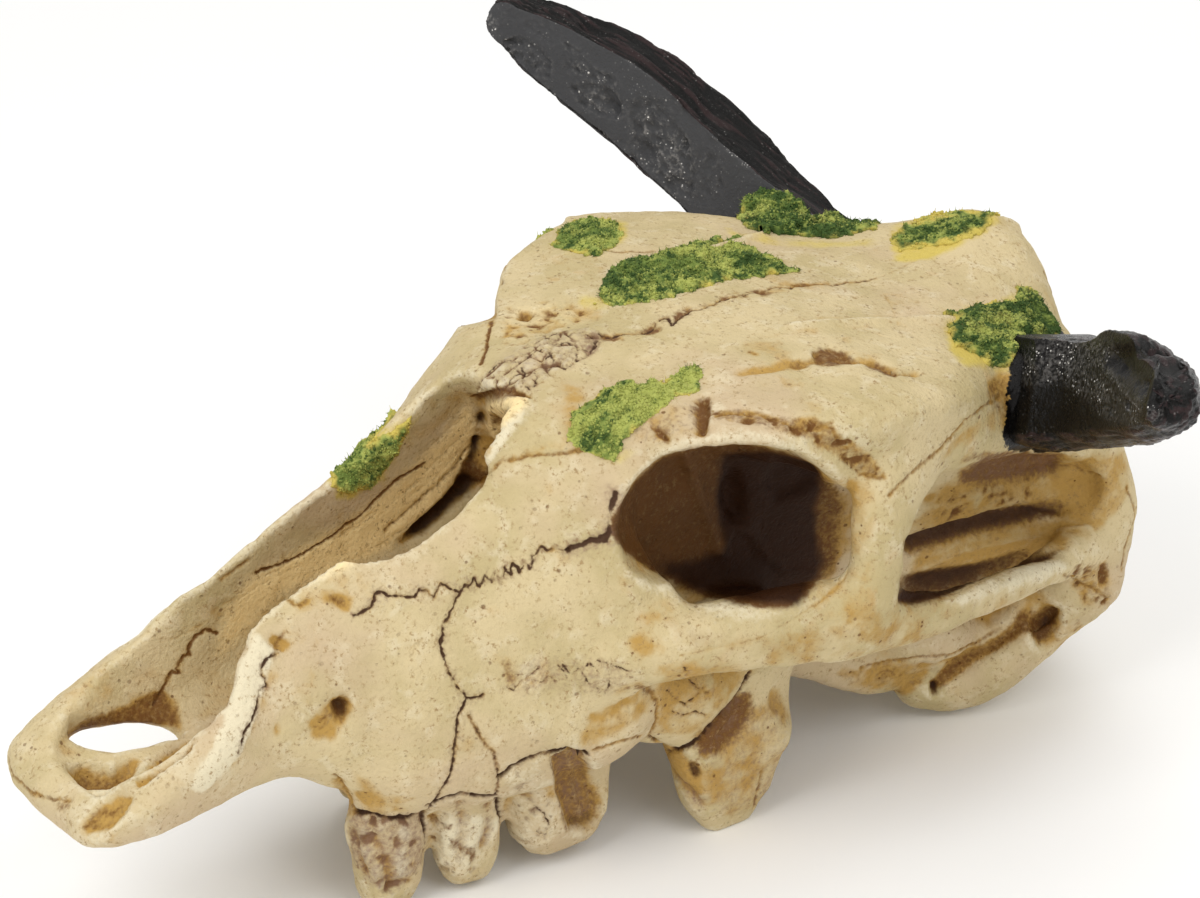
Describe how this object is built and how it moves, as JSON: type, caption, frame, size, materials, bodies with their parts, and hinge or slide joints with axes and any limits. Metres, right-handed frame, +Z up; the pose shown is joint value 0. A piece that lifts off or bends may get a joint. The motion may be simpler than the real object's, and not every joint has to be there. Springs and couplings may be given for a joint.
{
  "type": "cast resin buffalo skull ornament",
  "caption": "Cast ornament of a horned buffalo skull with an open nose, deep eye sockets, big teeth, blunt black horns and raised moss pads.",
  "frame": {"origin": "middle of the bounding box at floor level", "axes": "+Z up, -Y towards the snout, +X towards the skull's own left side"},
  "size_m": [0.2244, 0.2437, 0.1233],
  "materials": {
    "cast_bone": "matte painted resin, ivory with ochre and brown washes",
    "black_horn": "satin black painted resin with pits and ridges",
    "moss": "rough flocked moss, green with yellow edges"
  },
  "bodies": {
    "root": {"cranium": "cast_bone", "upper_jaw": "cast_bone", "cheekbone_left": "cast_bone", "cheekbone_right": "cast_bone", "horn_left": "black_horn", "horn_right": "black_horn", "moss_brow_right": "moss", "moss_forehead": "moss", "moss_horn_right": "moss", "moss_poll": "moss", "moss_horn_left": "moss", "moss_brow_left": "moss", "moss_muzzle_right": "moss"}
  },
  "joints": []
}
